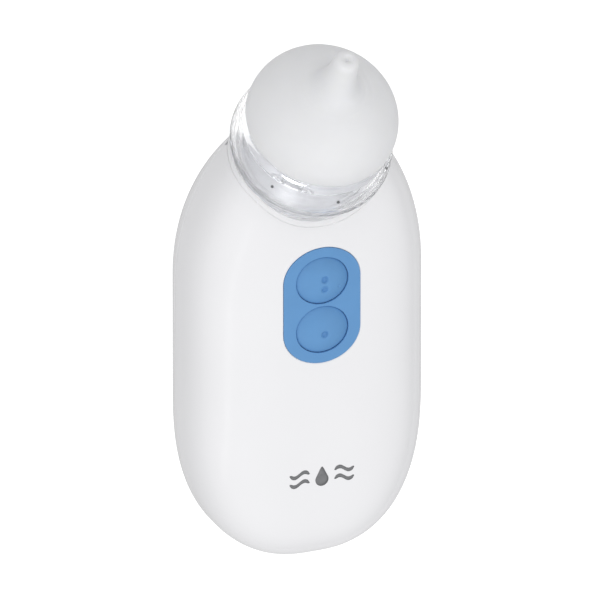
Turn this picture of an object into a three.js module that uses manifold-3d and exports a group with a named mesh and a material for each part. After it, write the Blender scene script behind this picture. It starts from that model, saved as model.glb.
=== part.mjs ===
// A battery nasal aspirator, lying on its flat back with the buttons up.
// Millimetres: +X across the face, +Y towards the nozzle, +Z out of the button face, Z = 0 on the table.
// The pieces are laid out from the middle of the casing, and the whole is then moved by ORIGIN_Y, so that
// the origin lies on the flat back under the middle of the object's length.
import * as THREE from "three";
import { mergeVertices } from "three/addons/utils/BufferGeometryUtils.js";
import Module from "manifold-3d";

const wasm = await Module();
wasm.setup();

// ---------------------------------------------------------------- driving dimensions

const ORIGIN_Y = 13.96; // place of the origin, along the casing from its middle
const GAP = 0.3; // clearance between pieces that touch
const WALL = 2; // casing wall
const MID_Z = 16.9; // height of the casing's widest level
const SEAM = { z: 12.4, slope: 0.07 }; // parting plane of the casing: height at Y = 0, and rise along Y
const HUGE = 200; // larger than the whole object, for half-space cuts

// The pebble: a straight middle with an elliptical end each way.
// Each power is a squareness: 2 is an ellipse, and more is nearer to a rectangle.
const PEBBLE = { halfWidth: 31, aroundSteps: 36, endSteps: 9 };
const FRONT = { depth: 16.9, power: 3.2, endPower: 4.4 }; // section, and side view of the ends, above MID_Z
const BACK = { depth: 17.3, power: 2.8, endPower: 2.3 }; // the same below it, before the flat back is cut
// Where each end starts, how long it is, its outline, and how steeply the back rises in it.
const LOW_END = { y: -16, length: 42, power: 2.5, backRise: 0.435 };
const HIGH_END = { y: 16, length: 44.4, power: 2, backRise: 1.1 };

// The head: everything round about the suction axis, which leans back from the body's length.
const HEAD = { y: 62.2, z: 33.4, lean: 53 }; // centre of the nozzle's rim, and its lean from +Z in degrees
const RIM_R = 19.3; // nozzle rim
const DOME_H = 16; // nozzle dome above its rim
// The nozzle's neck sweeps up from the dome to its blunt tip, as [radius, height above the rim].
const NECK = [[8.5, 14.36], [7.3, 14.95], [6.1, 15.9], [5.1, 17.3], [4.3, 19.3], [3.8, 21.6], [3.45, 24]];
const TIP = [[3.2, 26.4], [2.8, 27.6], [2.1, 28.1]];
const TIP_Z = 28.2;
const BORE_R = 1.4; // suction hole in the tip
const SILICONE = 1.6;
const CUP_WALL = 1.3;
const SEAT_GAP = 0.4; // room round the cup in its seat
const SEAT_WALL = 1.1;

// The button panel and its two buttons, as outlines on the face.
const PANEL = { y: 12.3, halfWidth: 10, straight: 6.7, end: 8.5, flange: 1.4, proud: 0.15 };
const BUTTON = { halfWidth: 6.9, halfLength: 6.15, proud: 0.45, flange: 1, stem: 2.2 };
const BUTTON_Y = { button_high: PANEL.y + 6.6, button_low: PANEL.y - 6.5 };

// Electronics under the panel.
const BOARD = { top: 26.5, thickness: 1, halfWidth: 13, lowY: -4, highY: 28.5 };
const SWITCH = { size: 6, height: 1.8, plungerR: 1.6, plungerTop: 28.9 };

// Two AA cells side by side, and the tray over them.
const CELL = { r: 7.25, length: 50.5, x: 7.7, z: 12.9, nubR: 2.75, nub: 1.2 };
const BAY = { lowY: -44.3, springRoom: 1.9 }; // lower contact's face, and room for a spring at a flat end
const BAY_HIGH_Y = BAY.lowY + GAP + CELL.length + BAY.springRoom;
const CONTACT = 0.4; // thickness of a contact plate
const TRAY = { z: 20.8, thickness: 1.3, wall: 1.2, halfWidth: 25.5, sideX: 16 };
const TRAY_LOW_Y = BAY.lowY - CONTACT - GAP - TRAY.wall;
const TRAY_HIGH_Y = BAY_HIGH_Y + CONTACT + GAP + TRAY.wall;
const DOOR = { highY: 11.5, z: 5, endY: -42 }; // upper edge, height of its sides, start of its end cap
const DOOR_HOOK = { x: 13.3, half: 0.6, reach: 1.1, length: 6, y: [-30, -8], lipZ: 4.3 };
const LEDGE = { inX: 14.2, outX: 15.5, lowY: -30, lowZ: 3.4, highZ: 4 }; // the tray's, for the hooks
const CASE_SCREW = { x: 23, y: 20, headZ: 8.2, length: 15 };
const FRAME_SCREW = { x: 21.5, lowY: -31, highY: 2, length: 5.5 };

// Vacuum pump lying across the body.
const PUMP = { y: 21, z: 14.5, r: 10.4, motorLeft: -0.5, motorRight: 19.5, headLeft: -19.5 };
const INLET_X = -15; // the pump's inlet barb
const BARB = { r: 1.5, bore: 0.8 };
const HOSE_R = 2.7;
const PORT_Z = -32; // height of the suction port's centre on the head's own axis

// ---------------------------------------------------------------- materials

function plastic(color, roughness = 0.3, opacity = 1) {
  const transparent = opacity < 1;
  return new THREE.MeshStandardMaterial({ color, roughness, metalness: 0, opacity, transparent });
}

function metal(color, roughness = 0.35) {
  return new THREE.MeshStandardMaterial({ color, roughness, metalness: 1 });
}

const WHITE = plastic(0xf0f0f2, 0.15);
const INNER_WHITE = plastic(0xe2e3e5, 0.45);
const BLUE = plastic(0x6a9acb, 0.4);
const CLEAR = plastic(0xf4f6f8, 0.05, 0.3);
const FROSTED = plastic(0xe9eaed, 0.5, 0.9);
const BLACK = plastic(0x1c1d1f, 0.5);
const BOARD_GREEN = plastic(0x1f5a38, 0.4);
const CELL_SLEEVE = plastic(0x3f6f8f, 0.3);
const STEEL = metal(0xc4c6c8);
const COPPER = metal(0xd8b074);

// ---------------------------------------------------------------- solids

function solid(geometry) {
  geometry.deleteAttribute("normal");
  geometry.deleteAttribute("uv");
  const merged = mergeVertices(geometry, 1e-4);
  const points = merged.attributes.position.array;
  const faces = [];
  for (let i = 0; i < merged.index.count; i += 3) {
    const [a, b, c] = [0, 1, 2].map((k) => merged.index.getX(i + k));
    if (a !== b && b !== c && c !== a) faces.push(a, b, c);
  }
  if (signedVolume(points, faces) < 0) faces.reverse();
  const mesh = new wasm.Mesh({
    numProp: 3,
    vertProperties: new Float32Array(points),
    triVerts: new Uint32Array(faces),
  });
  return new wasm.Manifold(mesh);
}

function signedVolume(points, faces) {
  const corner = (i) => new THREE.Vector3().fromArray(points, 3 * i);
  let total = 0;
  for (let i = 0; i < faces.length; i += 3) {
    total += corner(faces[i]).dot(corner(faces[i + 1]).cross(corner(faces[i + 2])));
  }
  return total;
}

function box(lowX, highX, lowY, highY, lowZ, highZ) {
  const geometry = new THREE.BoxGeometry(highX - lowX, highY - lowY, highZ - lowZ);
  geometry.translate((lowX + highX) / 2, (lowY + highY) / 2, (lowZ + highZ) / 2);
  return solid(geometry);
}

// A round bar along Z from z0 to z1, its axis through (x, y).
function postZ(x, y, r, z0, z1, sides = 16) {
  const geometry = new THREE.CylinderGeometry(r, r, z1 - z0, sides);
  geometry.rotateX(Math.PI / 2);
  geometry.translate(x, y, (z0 + z1) / 2);
  return solid(geometry);
}

function postX(y, z, r, x0, x1, sides = 20) {
  const geometry = new THREE.CylinderGeometry(r, r, x1 - x0, sides);
  geometry.rotateZ(Math.PI / 2);
  geometry.translate((x0 + x1) / 2, y, z);
  return solid(geometry);
}

function postY(x, z, r, y0, y1, sides = 20) {
  const geometry = new THREE.CylinderGeometry(r, r, y1 - y0, sides);
  geometry.translate(x, (y0 + y1) / 2, z);
  return solid(geometry);
}

// A profile of [radius, height] points turned about Z.
function turned(profile, sides = 28) {
  const geometry = new THREE.LatheGeometry(profile.map(([r, z]) => new THREE.Vector2(r, z)), sides);
  geometry.rotateX(Math.PI / 2);
  return solid(geometry);
}

// Moves a solid from the head's own frame, Z along the suction axis, to the body's frame.
function onHead(shape) {
  const geometry = geometryOf(shape);
  geometry.rotateX(THREE.MathUtils.degToRad(-HEAD.lean));
  geometry.translate(0, HEAD.y, HEAD.z);
  return solid(geometry);
}

function prism(outline, z0, z1, y = 0) {
  const shape = new THREE.Shape(outline.map(([px, py]) => new THREE.Vector2(px, py)));
  const geometry = new THREE.ExtrudeGeometry(shape, { depth: z1 - z0, bevelEnabled: false });
  geometry.translate(0, y, z0);
  return solid(geometry);
}

function geometryOf(shape) {
  const mesh = shape.getMesh();
  const geometry = new THREE.BufferGeometry();
  const count = mesh.vertProperties.length / mesh.numProp;
  const points = new Float32Array(3 * count);
  for (let i = 0; i < count; i++) {
    for (let k = 0; k < 3; k++) points[3 * i + k] = mesh.vertProperties[mesh.numProp * i + k];
  }
  geometry.setAttribute("position", new THREE.BufferAttribute(points, 3));
  geometry.setIndex(Array.from(mesh.triVerts));
  return geometry;
}

function join(...shapes) {
  return shapes.reduce((all, shape) => all.add(shape));
}

function above(z) {
  return box(-HUGE, HUGE, -HUGE, HUGE, z, z + HUGE);
}

// Everything on one side of the casing's parting plane, half a gap away from it.
function besideSeam(direction) {
  const geometry = new THREE.BoxGeometry(2 * HUGE, 2 * HUGE, HUGE);
  geometry.translate(0, 0, direction * (HUGE + GAP) / 2);
  geometry.rotateX(Math.atan(SEAM.slope));
  geometry.translate(0, 0, SEAM.z);
  return solid(geometry);
}

// ---------------------------------------------------------------- the pebble

// Stations along the length: y, the outline's half-width there, and how far along its end it is, 0 to 1.
function stations(inset, steps) {
  const list = [];
  const add = (end, direction, t) => {
    const width = (PEBBLE.halfWidth - inset) * (1 - t ** end.power) ** (1 / end.power);
    list.push({ y: end.y + direction * (end.length - inset) * t, width, t, backRise: end.backRise });
  };
  for (let i = 1; i <= steps; i++) add(LOW_END, -1, Math.cos((Math.PI / 2) * (i / steps)) ** 0.9);
  list.push({ y: 0, width: PEBBLE.halfWidth - inset, t: 0, backRise: HIGH_END.backRise });
  for (let i = 0; i < steps; i++) add(HIGH_END, 1, Math.sin((Math.PI / 2) * (i / steps)));
  return list;
}

// The pebble made smaller by inset all round, as a closed solid with a flat back.
function pebble(inset, around = PEBBLE.aroundSteps, steps = PEBBLE.endSteps) {
  const points = [0, LOW_END.y - LOW_END.length + inset, MID_Z];
  const rings = stations(inset, steps);
  for (const { y, width, t, backRise } of rings) {
    for (let k = 0; k < around; k++) {
      const c = Math.cos((2 * Math.PI * k) / around);
      const s = Math.sin((2 * Math.PI * k) / around);
      const half = k <= around / 2 ? FRONT : BACK;
      const rise = half === FRONT ? 1 / FRONT.endPower : backRise;
      const depth = (half.depth - inset) * (1 - t ** half.endPower) ** rise;
      points.push(width * Math.sign(c) * Math.abs(c) ** (2 / half.power), y);
      points.push(MID_Z + depth * Math.sign(s) * Math.abs(s) ** (2 / half.power));
    }
  }
  points.push(0, HIGH_END.y + HIGH_END.length - inset, MID_Z);
  const last = points.length / 3 - 1;
  const faces = [];
  for (let k = 0; k < around; k++) {
    const next = (k + 1) % around;
    faces.push(0, 1 + k, 1 + next);
    for (let r = 0; r < rings.length - 1; r++) {
      const a = 1 + r * around;
      const b = a + around;
      faces.push(a + k, b + k, b + next, a + k, b + next, a + next);
    }
    const top = last - around;
    faces.push(last, top + next, top + k);
  }
  const geometry = new THREE.BufferGeometry();
  geometry.setAttribute("position", new THREE.Float32BufferAttribute(points, 3));
  geometry.setIndex(faces);
  return solid(geometry).intersect(above(inset));
}

// The layer of the pebble between two depths under its surface.
function skin(outer, inner) {
  return pebble(outer).subtract(pebble(inner));
}

// ---------------------------------------------------------------- outlines on the face

function panelOutline(grow) {
  const points = [];
  const steps = 12;
  for (const end of [1, -1]) {
    for (let i = 0; i <= steps; i++) {
      const a = (Math.PI * i) / steps;
      const x = (PANEL.halfWidth + grow) * Math.cos(a) * end;
      points.push([x, end * (PANEL.straight + (PANEL.end + grow) * Math.sin(a))]);
    }
  }
  return points;
}

function buttonOutline(grow) {
  const points = [];
  const steps = 28;
  for (let i = 0; i < steps; i++) {
    const a = (2 * Math.PI * i) / steps;
    points.push([(BUTTON.halfWidth + grow) * Math.cos(a), (BUTTON.halfLength + grow) * Math.sin(a)]);
  }
  return points;
}

// ---------------------------------------------------------------- the head, in its own frame

function dome(rimR, height, steps, lowR) {
  const points = [];
  const lastAngle = Math.acos(lowR / rimR);
  for (let i = 0; i <= steps; i++) {
    const a = (lastAngle * i) / steps;
    points.push([rimR * Math.cos(a), height * Math.sin(a)]);
  }
  return points;
}

function nozzle() {
  const innerR = RIM_R - SILICONE - 0.2;
  const skirtZ = -1.6;
  return turned([
    [innerR, skirtZ],
    [RIM_R - 0.7, skirtZ],
    [RIM_R - 0.1, skirtZ + 0.6],
    ...dome(RIM_R, DOME_H, 8, NECK[0][0]).slice(0, -1),
    ...NECK,
    ...TIP,
    [BORE_R, TIP_Z],
    ...dome(innerR, DOME_H - SILICONE, 6, BORE_R).reverse(),
    [innerR, skirtZ],
  ]);
}

// Outside of the collection cup below its shoulder, from the neck to the base.
function cupSide() {
  return [
    [18.9, -1.9],
    [18.7, -3.2],
    [18.7, -5.8],
    [19.4, -6.8],
    [20.1, -9],
    [20.4, -11.5],
    [20, -13.8],
    [18.6, -16],
    [17.8, -18],
    [16.4, -20.8],
    [14.5, -23.3],
    [10.4, -26],
  ];
}

function collectionCup() {
  const outside = cupSide();
  const inside = outside.slice(3).map(([r, z]) => [r - CUP_WALL, z + CUP_WALL * ((-z - 6) / 20) ** 2]);
  const neckR = 17.1;
  const spigotR = 3.5;
  const boreR = 1.9;
  const riserTop = -11;
  const cup = turned([
    [boreR, -28.6],
    [spigotR - 0.3, -28.6],
    [spigotR, -28.2],
    [spigotR, -26],
    ...outside.slice().reverse(),
    [neckR, -1.9],
    [neckR, 1.4],
    [neckR - CUP_WALL, 1.4],
    [neckR - CUP_WALL, -5.4],
    ...inside,
    [3.2, -26 + CUP_WALL],
    [3.2, riserTop],
    [boreR, riserTop],
    [boreR, -28.6],
  ]);
  return join(cup, ...pips());
}

// Small alignment pips moulded on the outside of the cup's shoulder.
function pips() {
  return [39, 90, 141].map((degrees) => {
    const a = THREE.MathUtils.degToRad(-degrees);
    const geometry = new THREE.SphereGeometry(0.55, 6, 4);
    geometry.translate(19.5 * Math.cos(a), 19.5 * Math.sin(a), -8);
    return solid(geometry);
  });
}

// A mushroom that sits over the riser and keeps drops out of the pump.
function splashCap() {
  return turned([
    [3.5, -15.5],
    [4.3, -15.5],
    [4.3, -12.5],
    [6.4, -11.8],
    [6.2, -10.6],
    [4.2, -9],
    [0, -8.4],
    [0, -10.6],
    [3.5, -10.6],
    [3.5, -15.5],
  ], 24).subtract(box(-8, 8, -0.8, 0.8, -15.6, -12.4));
}

// The inner face of the seat: the cup's side with room round it, straight above the cup's widest level.
function seatProfile(grow) {
  const side = cupSide().filter(([, z]) => z <= -11.5);
  return side.map(([r, z]) => [r + grow, z - grow * Math.min(1, (-z - 11.5) / 10)]);
}

function seatBowl() {
  const inner = seatProfile(SEAT_GAP);
  const outer = seatProfile(SEAT_GAP + SEAT_WALL);
  const floorZ = inner.at(-1)[1];
  const underZ = outer.at(-1)[1];
  const socketR = 4.95;
  const socketLow = PORT_Z - 2.4;
  const top = 8;
  return turned([
    [inner[0][0], top],
    ...inner,
    [socketR, floorZ],
    [socketR, -29],
    [2, -29],
    [2, PORT_Z - 1],
    [0, PORT_Z - 1],
    [0, socketLow],
    [socketR + 1.2, socketLow],
    [socketR + 1.2, underZ],
    ...outer.slice().reverse(),
    [outer[0][0], top],
    [inner[0][0], top],
  ]);
}

function seatCutter() {
  const outer = seatProfile(SEAT_GAP + SEAT_WALL + GAP);
  return turned([[0, 60], [outer[0][0], 60], ...outer, [0, outer.at(-1)[1]], [0, 60]]);
}

// ---------------------------------------------------------------- casing

const cutter = onHead(seatCutter());
const outside = pebble(0);
const inside = pebble(WALL, 28, 7);
const casing = outside.subtract(inside).subtract(cutter);
const cavity = pebble(WALL + GAP, 28, 7).subtract(cutter);

function caseScrewPosts(r, z0, z1) {
  return join(...[-1, 1].map((side) => postZ(side * CASE_SCREW.x, CASE_SCREW.y, r, z0, z1)));
}

function frameScrewSpots() {
  const spots = [];
  for (const side of [-1, 1]) {
    for (const y of [FRAME_SCREW.lowY, FRAME_SCREW.highY]) spots.push([side * FRAME_SCREW.x, y]);
  }
  return spots;
}

// The battery door's share of the casing: a dish under the cells and the whole of the lower end.
function doorRegion(grow) {
  const dish = box(-HUGE, HUGE, -HUGE, DOOR.highY + grow, -1, DOOR.z + grow);
  const cap = box(-HUGE, HUGE, -HUGE, DOOR.endY + grow, -1, HUGE);
  return dish.add(cap);
}

function frontShell() {
  const bossLow = TRAY.z + TRAY.thickness + GAP;
  const bosses = frameScrewSpots().map(([x, y]) => postZ(x, y, 2.8, bossLow, 31));
  const screwHoles = frameScrewSpots().map(([x, y]) => postZ(x, y, 1.3, bossLow - 1, bossLow + 4.2));
  const posts = join(...bosses, caseScrewPosts(2.9, 0, 31)).intersect(outside).intersect(besideSeam(1));
  return casing.intersect(besideSeam(1))
    .add(posts.subtract(cutter))
    .subtract(join(...screwHoles))
    .subtract(caseScrewPosts(1.3, 0, CASE_SCREW.headZ + CASE_SCREW.length + 1.8))
    .subtract(prism(panelOutline(GAP), 24, 40, PANEL.y));
}

function backShell() {
  const vents = [-9, -4.5, 0, 4.5, 9].map((x) => box(x - 0.7, x + 0.7, 26, 34, -1, 4));
  const posts = caseScrewPosts(3, 0, MID_Z).intersect(outside).subtract(cutter);
  return casing.add(posts)
    .intersect(besideSeam(-1))
    .subtract(doorRegion(GAP))
    .subtract(caseScrewPosts(1.5, -1, MID_Z))
    .subtract(caseScrewPosts(2.3, -1, CASE_SCREW.headZ + GAP))
    .subtract(join(...vents));
}

// Two hooks a side that run over the tray's ledges, no higher than the door's own edge.
function doorHooks() {
  const { half, length, lipZ, reach } = DOOR_HOOK;
  const hooks = [];
  for (const side of [-1, 1]) {
    const x = side * DOOR_HOOK.x;
    const lipX = x + side * reach;
    for (const y of DOOR_HOOK.y) {
      hooks.push(box(x - half, x + half, y, y + length, 1.5, DOOR.z));
      hooks.push(box(lipX - half, lipX + half, y, y + length, lipZ, DOOR.z));
    }
  }
  return join(...hooks);
}

function batteryDoor() {
  const tongue = box(-7, 7, DOOR.highY - 4, DOOR.highY + 4, WALL + GAP, WALL + GAP + 1.2);
  const tongueFoot = box(-7, 7, DOOR.highY - 4, DOOR.highY - 1, WALL - 0.5, WALL + GAP + 1.2);
  const grooves = [0, 1, 2, 3, 4].map((i) => box(-8, 8, -3 + 2.2 * i, -2 + 2.2 * i, -1, 0.5));
  return casing.intersect(besideSeam(-1))
    .intersect(doorRegion(0))
    .add(doorHooks().intersect(outside))
    .add(join(tongue, tongueFoot))
    .subtract(join(...grooves));
}

// The tray that closes the battery bay, with end walls for the contacts and a ledge for the door's hooks.
function midFrame() {
  const { halfWidth, sideX, thickness, wall, z } = TRAY;
  const top = z + 0.5;
  const plate = box(-halfWidth, halfWidth, TRAY_LOW_Y, TRAY_HIGH_Y, z, z + thickness);
  const lowWall = box(-sideX, sideX, TRAY_LOW_Y, TRAY_LOW_Y + wall, 6, top);
  const highWall = box(-sideX, sideX, TRAY_HIGH_Y - wall, TRAY_HIGH_Y, 4.2, top);
  const rails = [];
  for (const side of [-1, 1]) {
    const x = side * (sideX - 0.1);
    const ledgeX = (side * (LEDGE.inX + LEDGE.outX)) / 2;
    const ledgeHalf = (LEDGE.outX - LEDGE.inX) / 2;
    rails.push(box(x - 0.5, x + 0.5, TRAY_LOW_Y, TRAY_HIGH_Y, 6.2, top));
    rails.push(box(x - 0.5, x + 0.5, LEDGE.lowY, TRAY_HIGH_Y, LEDGE.lowZ, 6.3));
    rails.push(box(ledgeX - ledgeHalf, ledgeX + ledgeHalf, LEDGE.lowY, TRAY_HIGH_Y, LEDGE.lowZ, LEDGE.highZ));
  }
  const holes = frameScrewSpots().map(([x, y]) => postZ(x, y, 1.4, z - 1, z + 3));
  return join(plate, lowWall, highWall, ...rails)
    .subtract(join(...holes))
    .intersect(cavity);
}

// The suction port's centre, in the casing's frame.
function port() {
  const lean = THREE.MathUtils.degToRad(HEAD.lean);
  return { y: HEAD.y + Math.sin(lean) * PORT_Z, z: HEAD.z + Math.cos(lean) * PORT_Z };
}

function cupSeat() {
  const { y, z } = port();
  return onHead(seatBowl())
    .intersect(outside)
    .add(postX(y, z, BARB.r, -10.5, -5.6, 16))
    .subtract(postX(y, z, BARB.bore, -11, 0, 12));
}

// ---------------------------------------------------------------- buttons and switches

function buttonHoles(grow) {
  return join(...Object.values(BUTTON_Y).map((y) => prism(buttonOutline(grow), 20, 40, y)));
}

function buttonPanel() {
  const face = prism(panelOutline(0), 24, 40, PANEL.y).intersect(skin(-PANEL.proud, WALL + GAP + 0.1));
  const flange = prism(panelOutline(PANEL.flange), 24, 40, PANEL.y)
    .intersect(skin(WALL + GAP, WALL + GAP + 0.9));
  return face.add(flange).subtract(buttonHoles(GAP));
}

function button(y) {
  const flangeTop = WALL + 2 * GAP + 0.9;
  const cap = prism(buttonOutline(0), 24, 40, y).intersect(skin(-BUTTON.proud, flangeTop + 0.4));
  const flange = prism(buttonOutline(BUTTON.flange), 24, 40, y)
    .intersect(skin(flangeTop, flangeTop + 0.8))
    .intersect(box(-HUGE, HUGE, y - 6.3, y + 6.3, 0, HUGE));
  const stem = postZ(0, y, BUTTON.stem, SWITCH.plungerTop + GAP, 32);
  return join(cap, flange, stem);
}

function switchHousing(y) {
  const half = SWITCH.size / 2;
  const low = BOARD.top + GAP / 3;
  return box(-half, half, y - half, y + half, low, BOARD.top + SWITCH.height)
    .subtract(postZ(0, y, SWITCH.plungerR + 0.15, BOARD.top + 0.5, 40));
}

function plunger(y) {
  return postZ(0, y, SWITCH.plungerR, BOARD.top + SWITCH.height - 0.3, SWITCH.plungerTop);
}

function circuitBoard() {
  const low = BOARD.top - BOARD.thickness;
  return box(-BOARD.halfWidth, BOARD.halfWidth, BOARD.lowY, BOARD.highY, low, BOARD.top)
    .subtract(postZ(-10, 25, 1.2, 20, 30, 12))
    .subtract(postZ(10, 25, 1.2, 20, 30, 12));
}

function indicatorLamp() {
  const x = -9.6;
  return box(x - 0.8, x + 0.8, PANEL.y - 0.4, PANEL.y + 0.4, BOARD.top + GAP / 3, BOARD.top + 0.7);
}

// ---------------------------------------------------------------- batteries and contacts

// One cell on the side given, its nub up the body on the right and down it on the left.
function cell(side) {
  const low = side > 0 ? BAY.lowY + BAY.springRoom : BAY.lowY + GAP;
  const high = low + CELL.length;
  const nubLow = side > 0 ? high - 2 : low;
  const sleeveLow = side > 0 ? low : low + CELL.nub;
  const sleeve = postY(0, 0, CELL.r, sleeveLow, sleeveLow + CELL.length - CELL.nub, 24);
  const nub = postY(0, 0, CELL.nubR, nubLow, nubLow + 2, 16);
  return sleeve.add(nub).translate([side * CELL.x, 0, CELL.z]);
}

// A wire coil about Y that narrows towards the cell.
class Coil extends THREE.Curve {
  constructor(turns, wideR, narrowR, length) {
    super();
    Object.assign(this, { turns, wideR, narrowR, length });
  }

  getPoint(t, target = new THREE.Vector3()) {
    const a = 2 * Math.PI * this.turns * t;
    const r = this.wideR + (this.narrowR - this.wideR) * t;
    return target.set(r * Math.cos(a), this.length * t, r * Math.sin(a));
  }
}

function contactSpring(side, y, direction) {
  const wire = new THREE.Shape();
  wire.absarc(0, 0, 0.3, 0, 2 * Math.PI);
  const path = new Coil(2.2, 4.2, 2, 0.7);
  const geometry = new THREE.ExtrudeGeometry(wire, { steps: 24, curveSegments: 3, extrudePath: path });
  if (direction < 0) geometry.rotateZ(Math.PI);
  geometry.translate(side * CELL.x, y, CELL.z);
  return solid(geometry);
}

function contactPlate(x0, x1, y) {
  return box(x0, x1, y, y + CONTACT, CELL.z - 4.8, CELL.z + 4.8);
}

// ---------------------------------------------------------------- vacuum pump

function motorCan() {
  return postX(PUMP.y, PUMP.z, PUMP.r, PUMP.motorLeft + 2.2, PUMP.motorRight, 32)
    .add(postX(PUMP.y, PUMP.z, 3.4, PUMP.motorLeft + 1.2, PUMP.motorLeft + 3))
    .subtract(postX(PUMP.y, PUMP.z, 1.05, PUMP.motorLeft - 1, PUMP.motorRight - 4, 16));
}

function motorShaft() {
  return postX(PUMP.y, PUMP.z, 1, PUMP.motorLeft - 3.4, PUMP.motorRight - 4.4, 16);
}

function eccentric() {
  return postX(PUMP.y, PUMP.z, 3.2, -6, -2.3, 20)
    .subtract(postX(PUMP.y, PUMP.z, 1.02, -5, 0, 16))
    .subtract(postX(PUMP.y, PUMP.z, 1.3, -4.2, 0, 16))
    .add(postX(PUMP.y, PUMP.z + 1.6, 0.8, -7.4, -5.5, 12));
}

function pumpBracket() {
  return postX(PUMP.y, PUMP.z, PUMP.r, -7.4, 1.4, 32)
    .subtract(postX(PUMP.y, PUMP.z, PUMP.r - 1.6, -8, 0.2, 24))
    .subtract(postX(PUMP.y, PUMP.z, 3.7, -1, 2, 20))
    .subtract(box(-6.4, -1, PUMP.y - 12, PUMP.y + 12, PUMP.z - 3, PUMP.z + 3));
}

function diaphragm() {
  const pin = postX(PUMP.y, PUMP.z, 1, -9.7, -8.1, 12);
  return postX(PUMP.y, PUMP.z, PUMP.r - 0.4, -10.2, -9.2, 24).add(pin);
}

function pumpRing() {
  return postX(PUMP.y, PUMP.z, PUMP.r, -8.9, -7.7, 32)
    .subtract(postX(PUMP.y, PUMP.z, PUMP.r - 1.8, -10, -6, 24));
}

function valvePlate() {
  const holes = [-1, 1].map((side) => postX(PUMP.y + 4 * side, PUMP.z, 1.1, -14, -9, 12));
  return postX(PUMP.y, PUMP.z, PUMP.r, -12, -10.5, 32).subtract(join(...holes));
}

function valveFlap(side) {
  return postX(PUMP.y + 4 * side, PUMP.z, 1.9, -12.7, -12.3, 12);
}

function pumpHead() {
  const inlet = PUMP.y + PUMP.r;
  const chamber = postX(PUMP.y, PUMP.z, PUMP.r - 3, -17, -12.1, 24);
  const rib = box(-17.5, -12.3, PUMP.y - 0.7, PUMP.y + 0.7, PUMP.z - 8, PUMP.z + 8);
  const flapRoom = box(-13.2, -12.2, PUMP.y - 1, PUMP.y + 1, PUMP.z - 8, PUMP.z + 8);
  const barb = postY(INLET_X, PUMP.z, BARB.r, inlet - 1, inlet + 4, 16);
  const bore = postY(INLET_X, PUMP.z, BARB.bore, PUMP.y + 5, inlet + 5, 12);
  const outlet = postY(INLET_X, PUMP.z - 3, BARB.r, PUMP.y - 12, PUMP.y - 5, 12);
  return postX(PUMP.y, PUMP.z, PUMP.r, PUMP.headLeft, -12.3, 32)
    .subtract(chamber)
    .add(rib.subtract(flapRoom))
    .add(barb)
    .subtract(bore)
    .subtract(outlet);
}

// A soft hose from the seat's side port round to the pump's inlet.
function suctionHose() {
  const start = port();
  const inletY = PUMP.y + PUMP.r;
  const route = new THREE.CatmullRomCurve3([
    new THREE.Vector3(-6.7, start.y, start.z),
    new THREE.Vector3(-9, start.y, start.z),
    new THREE.Vector3(-11.6, start.y - 0.3, start.z),
    new THREE.Vector3(-14, start.y - 1.6, (start.z + PUMP.z) / 2),
    new THREE.Vector3(INLET_X, start.y - 4, PUMP.z),
    new THREE.Vector3(INLET_X, inletY + 0.4, PUMP.z),
  ]);
  const tube = (r) => {
    const section = new THREE.Shape();
    section.absarc(0, 0, r, 0, 2 * Math.PI);
    return solid(new THREE.ExtrudeGeometry(section, { steps: 10, curveSegments: 5, extrudePath: route }));
  };
  const overBarbs = postX(start.y, start.z, BARB.r + 0.25, -11.5, 0, 12)
    .add(postY(INLET_X, PUMP.z, BARB.r + 0.25, 0, inletY + 4.4, 12));
  return tube(HOSE_R).subtract(overBarbs).subtract(tube(BARB.bore + 0.1));
}

// ---------------------------------------------------------------- fasteners

function screw(x, y, headZ, length) {
  const head = postZ(x, y, 1.9, headZ - 1.2, headZ, 12);
  const shank = postZ(x, y, 1, headZ - 0.2, headZ + length, 8);
  return join(head, shank).subtract(box(x - 1.2, x + 1.2, y - 0.25, y + 0.25, headZ - 2, headZ - 0.7));
}

function oRing() {
  const profile = [];
  for (let i = 0; i <= 8; i++) {
    const a = (Math.PI * 2 * i) / 8;
    profile.push([4.24 + 0.4 * Math.cos(a), -27.6 + 0.4 * Math.sin(a)]);
  }
  return turned(profile, 20);
}

// ---------------------------------------------------------------- the assembly

const aspirator = new THREE.Group();
aspirator.position.y = -ORIGIN_Y;
const head = new THREE.Group();
head.position.set(0, HEAD.y, HEAD.z);
head.rotation.x = THREE.MathUtils.degToRad(-HEAD.lean);
aspirator.add(head);

function put(group, name, shape, material) {
  const mesh = new THREE.Mesh(geometryOf(shape), material);
  mesh.name = name;
  group.add(mesh);
}

put(aspirator, "front_shell", frontShell(), WHITE);
put(aspirator, "back_shell", backShell(), WHITE);
put(aspirator, "battery_door", batteryDoor(), WHITE);
put(aspirator, "mid_frame", midFrame(), INNER_WHITE);
put(aspirator, "cup_seat", cupSeat(), WHITE);
put(aspirator, "button_panel", buttonPanel(), BLUE);

for (const [name, y] of Object.entries(BUTTON_Y)) {
  put(aspirator, name, button(y), BLUE);
  put(aspirator, name.replace("button", "plunger"), plunger(y), BLACK);
  put(aspirator, name.replace("button", "switch"), switchHousing(y), BLACK);
}
put(aspirator, "circuit_board", circuitBoard(), BOARD_GREEN);
put(aspirator, "indicator_lamp", indicatorLamp(), CLEAR);

put(aspirator, "battery_left", cell(-1), CELL_SLEEVE);
put(aspirator, "battery_right", cell(1), CELL_SLEEVE);
put(aspirator, "contact_bridge", contactPlate(-12, 12, BAY.lowY - CONTACT), STEEL);
put(aspirator, "contact_minus", contactPlate(-12, -3.4, BAY_HIGH_Y), STEEL);
put(aspirator, "contact_plus", contactPlate(3.4, 12, BAY_HIGH_Y), STEEL);
put(aspirator, "spring_minus", contactSpring(-1, BAY_HIGH_Y - 2 * GAP, -1), COPPER);
put(aspirator, "spring_bridge", contactSpring(1, BAY.lowY + 2 * GAP, 1), COPPER);

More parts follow.
